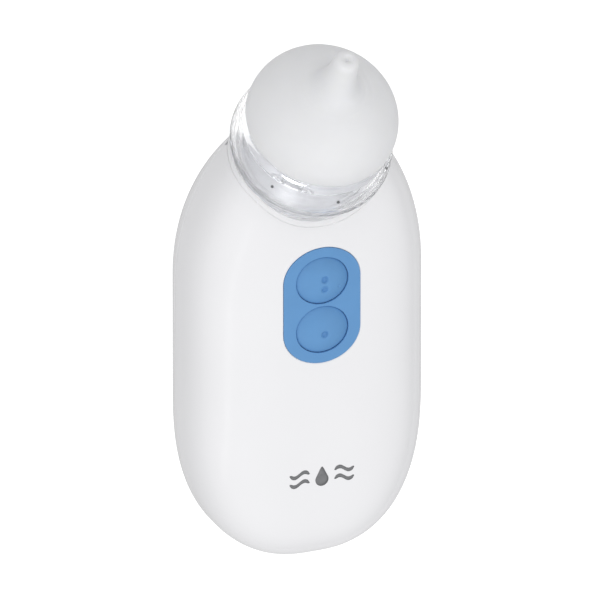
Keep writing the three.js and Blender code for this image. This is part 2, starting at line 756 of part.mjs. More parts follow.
put(aspirator, "motor_can", motorCan(), STEEL);
put(aspirator, "motor_shaft", motorShaft(), STEEL);
put(aspirator, "eccentric", eccentric(), INNER_WHITE);
put(aspirator, "pump_bracket", pumpBracket(), INNER_WHITE);
put(aspirator, "pump_ring", pumpRing(), INNER_WHITE);
put(aspirator, "diaphragm", diaphragm(), BLACK);
put(aspirator, "valve_plate", valvePlate(), INNER_WHITE);
put(aspirator, "valve_flap_inlet", valveFlap(1), BLACK);
put(aspirator, "valve_flap_outlet", valveFlap(-1), BLACK);
put(aspirator, "pump_head", pumpHead(), BLACK);
put(aspirator, "suction_hose", suctionHose(), FROSTED);

frameScrewSpots().forEach(([x, y], i) => {
  put(aspirator, `frame_screw_${i + 1}`, screw(x, y, TRAY.z - GAP, FRAME_SCREW.length), STEEL);
});
for (const [name, side] of [["case_screw_left", -1], ["case_screw_right", 1]]) {
  const { x, y, headZ, length } = CASE_SCREW;
  put(aspirator, name, screw(side * x, y, headZ, length), STEEL);
}

put(head, "cup_seal", oRing(), FROSTED);
put(head, "collection_cup", collectionCup(), CLEAR);
put(head, "splash_cap", splashCap(), FROSTED);
put(head, "nozzle", nozzle(), FROSTED);

export default aspirator;
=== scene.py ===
"""The looks of a battery nasal aspirator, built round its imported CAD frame.

The shapes are worked out in millimetres with Y = 0 at the middle of the casing, as the part's own design
is, and `row` moves them to the frame's metres. The smooth pieces stand for the faceted CAD nodes of the
same name; the pieces inside the casing keep their CAD shape and get a material.
"""
import math
from types import SimpleNamespace as Sizes

import bpy
import numpy as np
from mathutils import Matrix, Vector

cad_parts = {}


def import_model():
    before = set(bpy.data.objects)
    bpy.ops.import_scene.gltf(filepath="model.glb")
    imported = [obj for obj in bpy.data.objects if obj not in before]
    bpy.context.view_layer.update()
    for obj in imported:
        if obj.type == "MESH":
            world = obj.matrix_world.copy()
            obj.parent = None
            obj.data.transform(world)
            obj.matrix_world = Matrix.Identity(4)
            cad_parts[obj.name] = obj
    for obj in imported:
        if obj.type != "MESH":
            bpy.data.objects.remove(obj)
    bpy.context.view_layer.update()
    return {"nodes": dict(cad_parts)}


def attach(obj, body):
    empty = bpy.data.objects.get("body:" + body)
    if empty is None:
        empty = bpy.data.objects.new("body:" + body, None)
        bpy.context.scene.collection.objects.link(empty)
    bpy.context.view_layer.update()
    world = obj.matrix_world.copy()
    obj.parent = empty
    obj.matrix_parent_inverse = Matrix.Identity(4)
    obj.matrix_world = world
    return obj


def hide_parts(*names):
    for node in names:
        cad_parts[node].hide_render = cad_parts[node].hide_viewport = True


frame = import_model()

# ------------------------------------------------------------------ driving dimensions, in millimetres

ORIGIN_Y = 13.96  # the frame's origin, from the middle of the casing
GAP = 0.3
WALL = 2.0
MID_Z = 16.9  # the casing's widest level
HALF_WIDTH = 31.0
SEAM = Sizes(z=12.4, slope=0.07)
FRONT = Sizes(depth=16.9, power=3.2, end_power=4.4)  # power is the squareness of the section
BACK = Sizes(depth=17.3, power=2.8, end_power=2.3)
# Where each end starts, how long it is, its outline, and how steeply the back rises in it.
LOW_END = Sizes(y=-16.0, length=42.0, power=2.5, back_rise=0.435)
HIGH_END = Sizes(y=16.0, length=44.4, power=2.0, back_rise=1.1)
DOOR = Sizes(high_y=11.5, z=5.0, end_y=-42.0, corner=1.5)

HEAD = Sizes(y=62.2, z=33.4, lean=math.radians(53))
RIM_R = 19.1
DOME_H = 15.8
# The nozzle's neck sweeps up from the dome to its blunt tip, as (radius, height above the rim).
NECK = [(8.5, 14.36), (7.3, 14.95), (6.1, 15.9), (5.1, 17.3), (4.3, 19.3), (3.8, 21.6), (3.45, 24),
        (3.2, 26.4), (2.8, 27.6), (2.1, 28.1)]
TIP = Sizes(z=28.2, bore=0.45)
SILICONE = 1.6
CUP_WALL = 1.3
SEAT = Sizes(gap=0.4, wall=1.1)

PANEL = Sizes(y=12.3, half_width=10.0, straight=6.7, end=8.5, proud=0.15, wall=2.2, lip=0.12)
PANEL_GROWN = 0.16  # how far the panel reaches into its hole
PANEL_ROOM = 0.2  # how far the hole for the panel is wider than the panel
BUTTON_ROOM = 0.05  # the same for a button's hole in the panel
CLOSED = -0.03  # room between two mouldings that are pressed together, so that only a fine crease shows
BUTTON = Sizes(half_width=6.9, half_length=6.15, edge=-0.35, crown=2.0, crown_power=2.6, wall=2.6, lip=0.22)
BUTTON_Y = {"button_high": PANEL.y + 6.6, "button_low": PANEL.y - 6.5}
PORT_Z = -32.0  # the seat's suction port, along the head's axis


# ------------------------------------------------------------------ frame and mesh helpers


def row(points):
    """Millimetres from the casing's middle to the frame's metres."""
    return (np.asarray(points, float) - (0, ORIGIN_Y, 0)) / 1000


def as_points(x, y, z):
    return np.stack([x, y, z], axis=1)


def on_head(points):
    """From the head's own axes, Z along the suction axis, to the casing's."""
    points = np.asarray(points, float)
    c, s = math.cos(HEAD.lean), math.sin(HEAD.lean)
    y = points[:, 1] * c + points[:, 2] * s + HEAD.y
    z = -points[:, 1] * s + points[:, 2] * c + HEAD.z
    return as_points(points[:, 0], y, z)


def in_head(points):
    """Radius and height of each point about the head's axis."""
    c, s = math.cos(HEAD.lean), math.sin(HEAD.lean)
    y = points[:, 1] - HEAD.y
    z = points[:, 2] - HEAD.z
    return np.hypot(points[:, 0], y * c - z * s), y * s + z * c


def unit(vectors):
    return vectors / np.maximum(np.linalg.norm(vectors, axis=1, keepdims=True), 1e-12)


def mesh_from(name, points, faces):
    mesh = bpy.data.meshes.new(name)
    mesh.from_pydata([tuple(p) for p in row(points)], [], faces)
    return mesh


def linked(name, data):
    """A new object, in the scene."""
    obj = bpy.data.objects.new(name, data)
    bpy.context.scene.collection.objects.link(obj)
    return obj


class Solid:
    """Points and faces gathered for one piece, each face with the number of its material."""

    def __init__(self):
        self.points = []
        self.faces = []
        self.paints = []

    def add(self, points, faces, paint=0):
        start = len(self.points)
        self.points.extend(map(tuple, points))
        self.faces.extend([start + int(i) for i in face] for face in faces)
        self.paints.extend([paint] * len(faces))
        return self

    def piece(self, name, body, slot, materials, nodes=()):
        mesh = mesh_from(name, self.points, self.faces)
        mesh.validate()
        for material in materials:
            mesh.materials.append(material)
        mesh.polygons.foreach_set("material_index", self.paints[: len(mesh.polygons)])
        mesh.shade_smooth()
        obj = linked(name, mesh)
        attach(obj, body)
        if nodes:
            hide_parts(*nodes)
        return obj


def crisp(obj, degrees=35):
    """Keeps edges sharper than this angle sharp in the shading."""
    mesh = obj.data
    mesh.shade_smooth()
    mesh.set_sharp_from_angle(angle=math.radians(degrees))
    return obj


def smooth_max(a, b, blend):
    return 0.5 * (a + b + np.sqrt((a - b) ** 2 + blend**2))


def smooth_min(a, b, blend):
    return -smooth_max(-a, -b, blend)


def curve_through(points, steps=8):
    """A smooth line through a few points, with that many steps between each two."""
    points = [Vector(p) for p in points]
    padded = [2 * points[0] - points[1], *points, 2 * points[-1] - points[-2]]
    line = []
    for a, b, c, d in zip(padded, padded[1:], padded[2:], padded[3:]):
        for i in range(steps):
            t = i / steps
            line.append(0.5 * (2 * b + (c - a) * t + (2 * a - 5 * b + 4 * c - d) * t**2
                               + (3 * b - a - 3 * c + d) * t**3))
    line.append(points[-1])
    return [tuple(p) for p in line]


def over_corner(start, corner, end, t):
    """A point of the curve that leaves start toward corner and reaches end from it."""
    return (1 - t) ** 2 * start + 2 * t * (1 - t) * corner + t**2 * end


def rounded(profile, radius, steps=5):
    """A closed profile with each corner turned into a small curve."""
    result = []
    count = len(profile)
    for i in range(count):
        before, corner, after = (Vector(profile[(i + k) % count]) for k in (-1, 0, 1))
        into, out = corner - before, after - corner
        reach = min(radius, into.length * 0.45, out.length * 0.45)
        if into.length < 1e-6 or out.length < 1e-6 or into.angle(out) < math.radians(15):
            result.append(tuple(corner))
            continue
        start, end = corner - into.normalized() * reach, corner + out.normalized() * reach
        result += [tuple(over_corner(start, corner, end, k / steps)) for k in range(steps + 1)]
    return result


def circle(r, sides):
    turns = [2 * math.pi * k / sides for k in range(sides)]
    return [(r * math.cos(a), r * math.sin(a)) for a in turns]


def band(first, second, sides):
    """The quads between two rings of points, each given by the number of its first point."""
    pairs = [(k, (k + 1) % sides) for k in range(sides)]
    return [[first + k, first + n, second + n, second + k] for k, n in pairs]


def turned(profile, sides=144):
    """A closed profile of [radius, height] turned about Z. Points on the axis become one point."""
    points, rings = [], []
    for r, z in profile:
        if r < 1e-6:
            rings.append([len(points)] * sides)
            points.append((0, 0, z))
            continue
        rings.append(list(range(len(points), len(points) + sides)))
        points += [(x, y, z) for x, y in circle(r, sides)]
    faces = []
    for i, ring in enumerate(rings):
        following = rings[(i + 1) % len(rings)]
        for k in range(sides):
            n = (k + 1) % sides
            face = [ring[k], ring[n], following[n], following[k]]
            face = [v for j, v in enumerate(face) if v != face[j - 1]]
            if len(face) > 2:
                faces.append(face)
    return points, outward(points, faces)


def outward(points, faces):
    """The faces of a closed body, turned so that they face out."""
    points = np.asarray(points, float)
    total = 0.0
    for face in faces:
        for k in range(1, len(face) - 1):
            total += points[face[0]] @ np.cross(points[face[k]], points[face[k + 1]])
    return faces if total > 0 else [face[::-1] for face in faces]


def moved(body, shift):
    points, faces = body
    return np.asarray(points, float) + shift, faces


def along_y(points, x, z):
    """Turns a body made about Z so that its axis lies along Y, through x and z."""
    points = np.asarray(points, float)
    return as_points(points[:, 0] + x, points[:, 2], -points[:, 1] + z)


def swept(line, r, sides=16):
    """A round bar along a line of points, closed at both ends."""
    line = [Vector(p) for p in line]
    points, faces = [], []
    side = (line[1] - line[0]).orthogonal().normalized()
    for i, centre in enumerate(line):
        ahead = (line[min(i + 1, len(line) - 1)] - line[max(i - 1, 0)]).normalized()
        side = (side - ahead * side.dot(ahead)).normalized()
        other = ahead.cross(side)
        points += [tuple(centre + r * (x * side + y * other)) for x, y in circle(1, sides)]
    for i in range(len(line) - 1):
        faces += band(i * sides, (i + 1) * sides, sides)
    faces.append(list(range(sides))[::-1])
    faces.append([(len(line) - 1) * sides + k for k in range(sides)])
    return points, outward(points, faces)


def block(low, high, edge=0.2):
    """A box between two corners, with its edges rounded over."""
    low, high = np.minimum(low, high), np.maximum(low, high)
    spread, quads = cube_grid((3, 3, 3))
    level = np.rint((spread + 1) * 1.5)
    extreme = (level == 0) | (level == 3)
    pulled = edge * (1 - 1 / np.sqrt(np.maximum(extreme.sum(1, keepdims=True), 1)))
    inset = np.where(extreme, pulled, edge)
    return np.where(level < 2, low + inset, high - inset), quads.tolist()


# ------------------------------------------------------------------ surfaces


def sections(y):
    """The casing's half-width, and its depth in front of and behind its widest level, at each y."""
    low = np.clip((LOW_END.y - y) / LOW_END.length, 0, 1)
    high = np.clip((y - HIGH_END.y) / HIGH_END.length, 0, 1)
    end = np.maximum(low, high)
    power = np.where(low > 0, LOW_END.power, HIGH_END.power)
    width = HALF_WIDTH * (1 - end**power) ** (1 / power)
    front = FRONT.depth * (1 - end**FRONT.end_power) ** (1 / FRONT.end_power)
    rise = np.where(low > 0, LOW_END.back_rise, HIGH_END.back_rise)
    back = BACK.depth * (1 - end**BACK.end_power) ** rise
    return np.maximum(width, 1e-6), np.maximum(front, 1e-6), np.maximum(back, 1e-6)


def fullness(points):
    """Below 1 inside the casing's outer surface, and above 1 outside it."""
    width, front, back = sections(points[:, 1])
    in_front = points[:, 2] > MID_Z
    depth, power = np.where(in_front, front, back), np.where(in_front, FRONT.power, BACK.power)
    across = np.abs(points[:, 0]) / width
    through = np.abs(points[:, 2] - MID_Z) / depth
    past_end = (points[:, 1] < LOWEST) | (points[:, 1] > HIGHEST)
    return np.minimum(across, 1e3) ** power + np.minimum(through, 1e3) ** power + 2 * past_end


def first_crossing(inside, high, steps=40):
    """The largest share, up to high, at which inside(share) still holds. Past it, inside has to fail."""
    low = np.zeros_like(high)
    high = high.copy()
    for _ in range(steps):
        middle = (low + high) / 2
        kept = inside(middle)
        low = np.where(kept, middle, low)
        high = np.where(kept, high, middle)
    return low


LOWEST, HIGHEST = LOW_END.y - LOW_END.length, HIGH_END.y + HIGH_END.length
CENTRE = np.array([0, (LOWEST + HIGHEST) / 2, MID_Z])
REACH = np.array([HALF_WIDTH, (HIGHEST - LOWEST) / 2, MID_Z])
PAST_SURFACE = 1.8  # a share of any ray that lies outside the casing
FLAT_EDGE = 0.2  # how softly the back turns into its flat face


def on_casing(rays):
    """Where rays from the casing's centre meet its outer surface, with the back a flat face at Z = 0."""
    def inside(share):
        return fullness(CENTRE + share[:, None] * rays) < 1

    points = CENTRE + first_crossing(inside, np.full(len(rays), PAST_SURFACE))[:, None] * rays
    points[:, 2] = smooth_max(points[:, 2], 0, FLAT_EDGE)
    return points


def face_z(x, y):
    """Height of the casing's front surface above x, y."""
    width, front, _ = sections(y)
    share = np.minimum(np.abs(x) / width, 1)
    return MID_Z + front * (1 - share**FRONT.power) ** (1 / FRONT.power)


def back_z(x, y):
    """Height of the casing's back surface under x, y."""
    width, _, back = sections(y)
    share = np.minimum(np.abs(x) / width, 1)
    return np.maximum(MID_Z - back * (1 - share**BACK.power) ** (1 / BACK.power), 0)


def on_face(flat, y0, proud):
    """Pairs [x, y] laid on the casing's front, with y counted from y0, and raised by proud."""
    x, y = flat[:, 0], flat[:, 1] + y0
    return as_points(x, y, face_z(x, y) + proud)


def cube_grid(counts):
    """The quads of a cube's surface, between -1 and 1, with that many along X, Y and Z."""
    index, points, quads = {}, [], []
    for axis in range(3):
        a, b = (axis + 1) % 3, (axis + 2) % 3
        for side in (0, counts[axis]):
            for i in range(counts[a]):
                for j in range(counts[b]):
                    quad = []
                    for di, dj in ((0, 0), (1, 0), (1, 1), (0, 1)):
                        key = [0, 0, 0]
                        key[axis], key[a], key[b] = side, i + di, j + dj
                        key = tuple(key)
                        if key not in index:
                            index[key] = len(points)
                            points.append([2 * k / n - 1 for k, n in zip(key, counts)])
                        quad.append(index[key])
                    quads.append(quad if side else quad[::-1])
    return np.array(points), np.array(quads)


def flat_grid(half_x, half_y, step):
    """A rectangle of quads about the origin, as [x, y] pairs."""
    nx, ny = math.ceil(2 * half_x / step), math.ceil(2 * half_y / step)
    xs, ys = np.linspace(-half_x, half_x, nx + 1), np.linspace(-half_y, half_y, ny + 1)
    points = np.array([[x, y] for y in ys for x in xs])
    quads = [[j * (nx + 1) + i, j * (nx + 1) + i + 1, (j + 1) * (nx + 1) + i + 1, (j + 1) * (nx + 1) + i]
             for j in range(ny) for i in range(nx)]
    return points, np.array(quads)


# ------------------------------------------------------------------ shells cut out of a surface


def slope_of(limit, points, step=0.02):
    columns = []
    for axis in range(3):
        shift = np.zeros(3)
        shift[axis] = step
        columns.append((limit(points + shift) - limit(points - shift)) / (2 * step))
    return np.stack(columns, axis=1)


def grid_normals(points, quads):
    a, b, c, d = (points[quads[:, k]] for k in range(4))
    facing = np.cross(c - a, d - b)
    total = np.zeros_like(points)
    for k in range(4):
        np.add.at(total, quads[:, k], facing)
    return unit(total)


def shell(place, params, quads, limit, wall, lip=0.3, steps=4, snap=0.3):
    """A plate cut out of a surface, with its rim rolled over.

    place(params) puts the grid on the surface. The plate covers the part where limit(points) is below 0,
    its rim rolls over within lip of that line and then follows the cutting face down, and the plate is
    wall thick. Returns the points and faces of a closed body.
    """
    params = params.copy()
    points = place(params)
    normals = grid_normals(points, quads)

    def short_of(at, facing):
        slope = slope_of(limit, at)
        along = slope - (slope * facing).sum(1, keepdims=True) * facing
        steep = np.maximum(np.linalg.norm(along, axis=1), 0.2)
        return limit(at) / steep + lip

    away = short_of(points, normals)
    pairs = np.sort(np.concatenate([quads[:, [k, (k + 1) % 4]] for k in range(4)]), axis=1)
    pairs = np.unique(pairs, axis=0)
    pairs = pairs[away[pairs[:, 0]] * away[pairs[:, 1]] < 0]
    first, second = pairs.T
    negative = away[first] < 0

    def between(share, values):
        return values[first] * (1 - share[:, None]) + values[second] * share[:, None]

    def same_side(share):
        at = short_of(place(between(share, params)), unit(between(share, normals)))
        return (at < 0) == negative

    share = first_crossing(same_side, np.ones(len(pairs)), steps=16)
    cut_params, cut_normals = between(share, params), unit(between(share, normals))

    # A point that lies close to the cut moves onto it, so that no sliver is left beside it.
    nearest = {}
    for k, (i, j) in enumerate(pairs):
        for vertex, near in ((i, share[k]), (j, 1 - share[k])):
            if near < snap and near < nearest.get(vertex, (1, 0))[0]:
                nearest[vertex] = (near, k)
    for vertex, (_, k) in nearest.items():
        params[vertex], normals[vertex], away[vertex] = cut_params[k], cut_normals[k], 0
    added = {}
    extra_params, extra_normals = [], []
    for k, (i, j) in enumerate(pairs):
        if i not in nearest and j not in nearest:
            added[i, j] = added[j, i] = len(params) + len(extra_params)
            extra_params.append(cut_params[k])
            extra_normals.append(cut_normals[k])
    if extra_params:
        params = np.concatenate([params, extra_params])
        normals = np.concatenate([normals, extra_normals])
    points = place(params)

    kept = []
    for quad, values in zip(quads.tolist(), away[quads].tolist()):
        if max(values) < 0:
            kept.append(quad)
            continue
        if min(values) >= 0:
            continue
        polygon = []
        for k in range(4):
            i, j = quad[k], quad[(k + 1) % 4]
            if values[k] <= 0:
                polygon.append(i)
            if (i, j) in added:
                polygon.append(added[i, j])
        if len(polygon) > 2:
            kept.append(polygon)

    directed = {(f[k], f[(k + 1) % len(f)]) for f in kept for k in range(len(f))}
    rim = [(i, j) for i, j in directed if (j, i) not in directed]
    on_rim = sorted({i for pair in rim for i in pair})
    used = sorted({i for f in kept for i in f})

    edge, facing = points[on_rim], normals[on_rim]
    cutting = unit(slope_of(limit, edge))
    out = unit(cutting - (cutting * facing).sum(1, keepdims=True) * facing)
    down = -unit(facing - (facing * cutting).sum(1, keepdims=True) * cutting)
    drop = wall / np.maximum(-(down * facing).sum(1), 0.5)
    corner = edge + out * lip
    under = corner + down * lip
    rings = []
    for k in range(1, steps + 1):
        rings.append(over_corner(edge, corner, under, k / steps))
    rings.append(corner + down * drop[:, None])

    new = {i: n for n, i in enumerate(used)}
    spot = {i: n for n, i in enumerate(on_rim)}
    all_points = [points[used], *rings, points[used] - wall * normals[used]]
    ring_start = [len(used) + k * len(on_rim) for k in range(len(rings))]
    inner_start = ring_start[-1] + len(on_rim)
    faces = [[new[i] for i in f] for f in kept]
    faces += [[inner_start + new[i] for i in reversed(f)] for f in kept]
    for i, j in rim:
        chain_i = [new[i], *(s + spot[i] for s in ring_start), inner_start + new[i]]
        chain_j = [new[j], *(s + spot[j] for s in ring_start), inner_start + new[j]]
        for k in range(len(chain_i) - 1):
            faces.append([chain_j[k], chain_i[k], chain_i[k + 1], chain_j[k + 1]])
    return np.concatenate(all_points), faces


# ------------------------------------------------------------------ the casing's cutting lines


def seam_z(y):
    return SEAM.z + SEAM.slope * y


def below_seam(points):
    return (seam_z(points[:, 1]) - points[:, 2]) / math.hypot(1, SEAM.slope)


def in_panel(points, grow):
    """Above 0 inside the panel's outline, on the front of the casing."""
    x = np.abs(points[:, 0])
    past = np.maximum(np.abs(points[:, 1] - PANEL.y) - PANEL.straight, 0)
    width, end = PANEL.half_width + grow, PANEL.end + grow
    inside = width * (1 - np.hypot(x / width, past / end))
    return np.where(points[:, 2] > MID_Z, inside, -HALF_WIDTH)


def in_button(points, y, grow):
    width, length = BUTTON.half_width + grow, BUTTON.half_length + grow
    return width * (1 - np.hypot(points[:, 0] / width, (points[:, 1] - y) / length))


def in_door(points):
    """Above 0 in the battery door's share of the casing."""
    dish = smooth_min(DOOR.z - points[:, 2], DOOR.high_y - points[:, 1], DOOR.corner)
    return smooth_max(dish, DOOR.end_y - points[:, 1], DOOR.corner)


# The collection cup's outside, from its shoulder to its base.
CUP_SIDE = [(18.9, -1.9), (18.7, -3.2), (18.7, -5.8), (19.4, -6.8), (20.1, -9), (20.4, -11.5), (20, -13.8),
            (18.6, -16), (17.8, -18), (16.4, -20.8), (14.5, -23.3), (10.4, -26)]
SEAT_WIDEST = -11.5


def seat_profile(grow):
    """The cup's side from its widest level down, with room round it, as a smooth line."""
    side = [(r, z) for r, z in CUP_SIDE if z <= SEAT_WIDEST]
    line = [(r + grow, z - grow * min(1, (SEAT_WIDEST - z) / 10)) for r, z in side]
    return curve_through(line)


SEAT_HOLE = np.array(seat_profile(SEAT.gap + SEAT.wall + CLOSED))


def in_seat(points):
    """Above 0 inside the hole for the cup's seat."""
    r, z = in_head(points)
    wall = np.interp(z, SEAT_HOLE[::-1, 1], SEAT_HOLE[::-1, 0])
    return np.minimum(wall - r, z - SEAT_HOLE[-1, 1])


CORNER = 0.2  # how softly two cutting lines meet
DOOR_ROOM = 0.15  # between the door's edge and the seam


def front_limit(points):
    cut = smooth_max(below_seam(points) + CLOSED, in_seat(points), CORNER)
    return np.maximum(cut, in_panel(points, PANEL_ROOM))


def back_limit(points):
    cut = smooth_max(CLOSED - below_seam(points), in_seat(points), CORNER)
    return smooth_max(cut, in_door(points) + GAP, CORNER)


def door_limit(points):
    return smooth_max(DOOR_ROOM - below_seam(points), -in_door(points), CORNER)


# ------------------------------------------------------------------ materials


def add_node(tree, kind, inputs, **settings):
    """A new shader node. Each of its inputs, by name or number, is linked to a socket or set to a value."""
    made = tree.nodes.new("ShaderNode" + kind)
    for key, value in settings.items():
        setattr(made, key, value)
    for key, value in dict(inputs).items():
        if isinstance(value, bpy.types.NodeSocket):
            tree.links.new(value, made.inputs[key])
        else:
            made.inputs[key].default_value = value
    return made


class Paint:
    """A Principled material whose colour, roughness and bump come from textures sized in millimetres."""

    def __init__(self, name, **sockets):
        self.material = bpy.data.materials.new(name)
        self.material.use_nodes = True
        self.tree = self.material.node_tree
        self.shader = self.tree.nodes["Principled BSDF"]
        for key, value in sockets.items():
            self.shader.inputs[key.replace("_", " ")].default_value = value
        self.place = self.node("TexCoord").outputs["Object"]

    def node(self, kind, inputs=(), **settings):
        return add_node(self.tree, kind, inputs, **settings)

    def feed(self, key, value):
        self.tree.links.new(value, self.shader.inputs[key])
        return self

    def noise(self, size, detail=2.0, stretch=None, distortion=0.0):
        """A noise whose features are about size millimetres across."""
        vector = self.place
        if stretch:
            vector = self.node("Mapping", {"Vector": vector, "Scale": stretch}).outputs["Vector"]
        made = self.node("TexNoise", {"Vector": vector, "Scale": 1000 / size, "Detail": detail,
                                      "Distortion": distortion})
        return made.outputs["Fac"]

    def cells(self, size):
        return self.node("TexVoronoi", {"Vector": self.place, "Scale": 1000 / size}).outputs["Distance"]

    def between(self, value, low, high, to_low, to_high):
        made = self.node("MapRange", {"Value": value, "From Min": low, "From Max": high,
                                      "To Min": to_low, "To Max": to_high})
        return made.outputs["Result"]

    def colours(self, value, *stops):
        """Base colour along a ramp of (position, colour) stops."""
        ramp = self.node("ValToRGB", {"Fac": value})
        for element, (position, colour) in zip(ramp.color_ramp.elements, stops):
            element.position = position
            element.color = (*colour, 1)
        return self.feed("Base Color", ramp.outputs["Color"])

    def shine(self, value, low, high):
        """Roughness between low and high as value goes from 0.3 to 0.7."""
        return self.feed("Roughness", self.between(value, 0.3, 0.7, low, high))

    def bumps(self, *layers):
        """Relief from (value, height in millimetres) layers, one on another."""
        normal = None
        for value, height in layers:
            inputs = {"Height": value, "Distance": height / 1000, "Strength": 1.0}
            if normal is not None:
                inputs["Normal"] = normal
            normal = self.node("Bump", inputs).outputs["Normal"]
        return self.feed("Normal", normal)

    def lets_light_through(self, colour):
        """Light on its way to what lies behind passes straight through, tinted by this colour."""
        shadow = self.node("LightPath").outputs["Is Shadow Ray"]
        through = self.node("BsdfTransparent", {"Color": (*colour, 1)}).outputs["BSDF"]
        mixed = self.node("MixShader", {0: shadow, 1: self.shader.outputs["BSDF"], 2: through})
        surface = self.tree.nodes["Material Output"].inputs["Surface"]
        self.tree.links.new(mixed.outputs["Shader"], surface)
        return self


def tinted(colour, factor):
    return tuple(min(1, c * factor) for c in colour)


def mottled(name, tone, dark, light, gloss, low, high, **sockets):
    """A material mottled in colour and in roughness. tone and gloss are the size and detail of each noise."""
    paint = Paint(name, **sockets)
    paint.colours(paint.noise(*tone), (0.3, dark), (0.7, light))
    return paint.shine(paint.noise(*gloss), low, high)


def gloss_white():
    """Glossy moulded ABS: a faint orange-peel, a slightly uneven gloss and tone."""
    white = (0.845, 0.845, 0.862)
    paint = mottled("casing_gloss_white", (22, 3), tinted(white, 0.985), white, (5, 4), 0.15, 0.22, IOR=1.5)
    return paint.bumps((paint.noise(2.6, 1), 0.0025), (paint.noise(0.35), 0.0004)).material


def satin_white():
    """The same plastic without polish, as on the inside parts, with a fine eroded grain."""
    white = (0.74, 0.745, 0.755)
    paint = mottled("inner_satin_white", (9, 3), tinted(white, 0.95), white, (3, 4), 0.38, 0.52, IOR=1.5)
    return paint.bumps((paint.noise(0.4, 3), 0.006)).material


def soft_blue():
    """Soft-touch elastomer: a fine even texture, and a little sheen where fingers have polished it."""
    blue = (0.107, 0.292, 0.58)
    paint = mottled("button_soft_blue", (6, 4), tinted(blue, 0.965), tinted(blue, 1.02), (2.2, 4), 0.42, 0.54,
                    IOR=1.48, Sheen_Weight=0.12, Sheen_Roughness=0.5, Sheen_Tint=(0.75, 0.86, 1.0, 1))
    return paint.bumps((paint.noise(0.16), 0.0035), (paint.cells(0.32), 0.0015)).material


def clear_plastic():
    """Clear plastic with the faint flow waves and haze of a moulding. Light falls through it unbent."""
    paint = Paint("cup_clear", Base_Color=(0.985, 0.988, 0.995, 1), IOR=1.12, Transmission_Weight=1.0,
                  Alpha=0.75)
    paint.shine(paint.noise(7, 4), 0.015, 0.05)
    flow = paint.noise(5, stretch=(1, 0.4, 1), distortion=0.6)
    paint.bumps((flow, 0.0006))
    return paint.lets_light_through((0.95, 0.955, 0.96)).material


def pip_painted_shade():
    """The cup's clear plastic where a pip is moulded into it, painted in dark greys as painted shade: the
    clear pip looks dark against the cup, and this colour stands in for that shade.
    """
    return mottled("cup_pip_painted_shade", (0.5,), (0.12, 0.12, 0.13), (0.2, 0.2, 0.21), (0.3,), 0.2, 0.35,
                   IOR=1.46, Transmission_Weight=0.3).material


def frosted_silicone(name="nozzle_frosted_silicone", milk=(0.80, 0.805, 0.82), passes=0.9):
    """Milky silicone with a blasted surface and uneven depth of tone. passes is the share of light let by."""
    paint = mottled(name, (11, 4), tinted(milk, 0.97), milk, (2.5, 4), 0.4, 0.52,
                    IOR=1.41, Subsurface_Weight=0.6, Subsurface_Scale=0.005,
                    Subsurface_Radius=(1.0, 1.0, 1.1), Sheen_Weight=0.08, Sheen_Roughness=0.6)
    paint.bumps((paint.noise(0.22, 3), 0.004), (paint.noise(3.5), 0.01))
    return (paint.lets_light_through((passes, passes, passes)) if passes else paint).material


def black_plastic():
    paint = mottled("black_moulded", (2.5, 4), (0.012, 0.012, 0.014), (0.022, 0.022, 0.025),
                    (1.4, 3), 0.35, 0.5, IOR=1.5)
    return paint.bumps((paint.noise(0.2, 3), 0.005)).material


def black_rubber():
    paint = mottled("black_rubber", (1.2, 4), (0.014, 0.014, 0.015), (0.03, 0.03, 0.032),
                    (0.8, 3), 0.55, 0.72, IOR=1.45, Sheen_Weight=0.2, Sheen_Roughness=0.4)
    return paint.bumps((paint.noise(0.12, 3), 0.004)).material


def solder_mask():
    """Green mask over copper tracks, which show as raised lighter lines."""
    paint = Paint("board_green_mask", IOR=1.52, Coat_Weight=0.4, Coat_Roughness=0.12)
    tracks = paint.node("TexBrick", {"Vector": paint.place, "Scale": 260.0, "Mortar Size": 0.03,
                                     "Color1": (0, 0, 0, 1), "Color2": (0, 0, 0, 1),
                                     "Mortar": (1, 1, 1, 1)}).outputs["Color"]
    paint.colours(tracks, (0.0, (0.012, 0.105, 0.04)), (1.0, (0.03, 0.21, 0.07)))
    paint.shine(paint.noise(3, 3), 0.22, 0.34)
    return paint.bumps((tracks, 0.03), (paint.noise(0.3), 0.004)).material


def brushed_steel(name="plated_steel", colour=(0.56, 0.57, 0.585), stretch=(0.08, 1, 1)):
    """Plated steel with fine drawn lines along one direction."""
    paint = Paint(name, Metallic=1.0, Anisotropic=0.4)
    paint.colours(paint.noise(2.5, 4), (0.3, tinted(colour, 0.9)), (0.7, colour))
    lines = paint.noise(0.25, 3, stretch)
    paint.shine(lines, 0.2, 0.36)
    return paint.bumps((lines, 0.002)).material


BAND_Y = -0.018  # where the cells' band ends, in the frame's metres


def cell_sleeve():
    """A shrunk foil sleeve: plain graphite grey, a broad teal band at one end, tiny shrink ripples."""
    paint = Paint("cell_sleeve", Metallic=0.55, IOR=1.5, Coat_Weight=0.5, Coat_Roughness=0.12)
    along = paint.node("SeparateXYZ", {"Vector": paint.place}).outputs["Y"]
    teal = paint.node("Math", {0: along, 1: BAND_Y}, operation="GREATER_THAN").outputs["Value"]
    paint.colours(teal, (0.0, (0.02, 0.17, 0.19)), (1.0, (0.055, 0.06, 0.068)))
    paint.shine(paint.noise(3, 4), 0.24, 0.36)
    return paint.bumps((paint.noise(1.8, stretch=(1, 0.3, 1)), 0.012)).material


def grey_ink():
    """Pad-printed ink: slightly mottled, less glossy than the plastic round it."""
    paint = mottled("printed_grey", (0.9, 3), (0.155, 0.158, 0.165), (0.19, 0.193, 0.2),
                    (0.6,), 0.32, 0.45, IOR=1.48)
    return paint.bumps((paint.noise(0.2), 0.002)).material


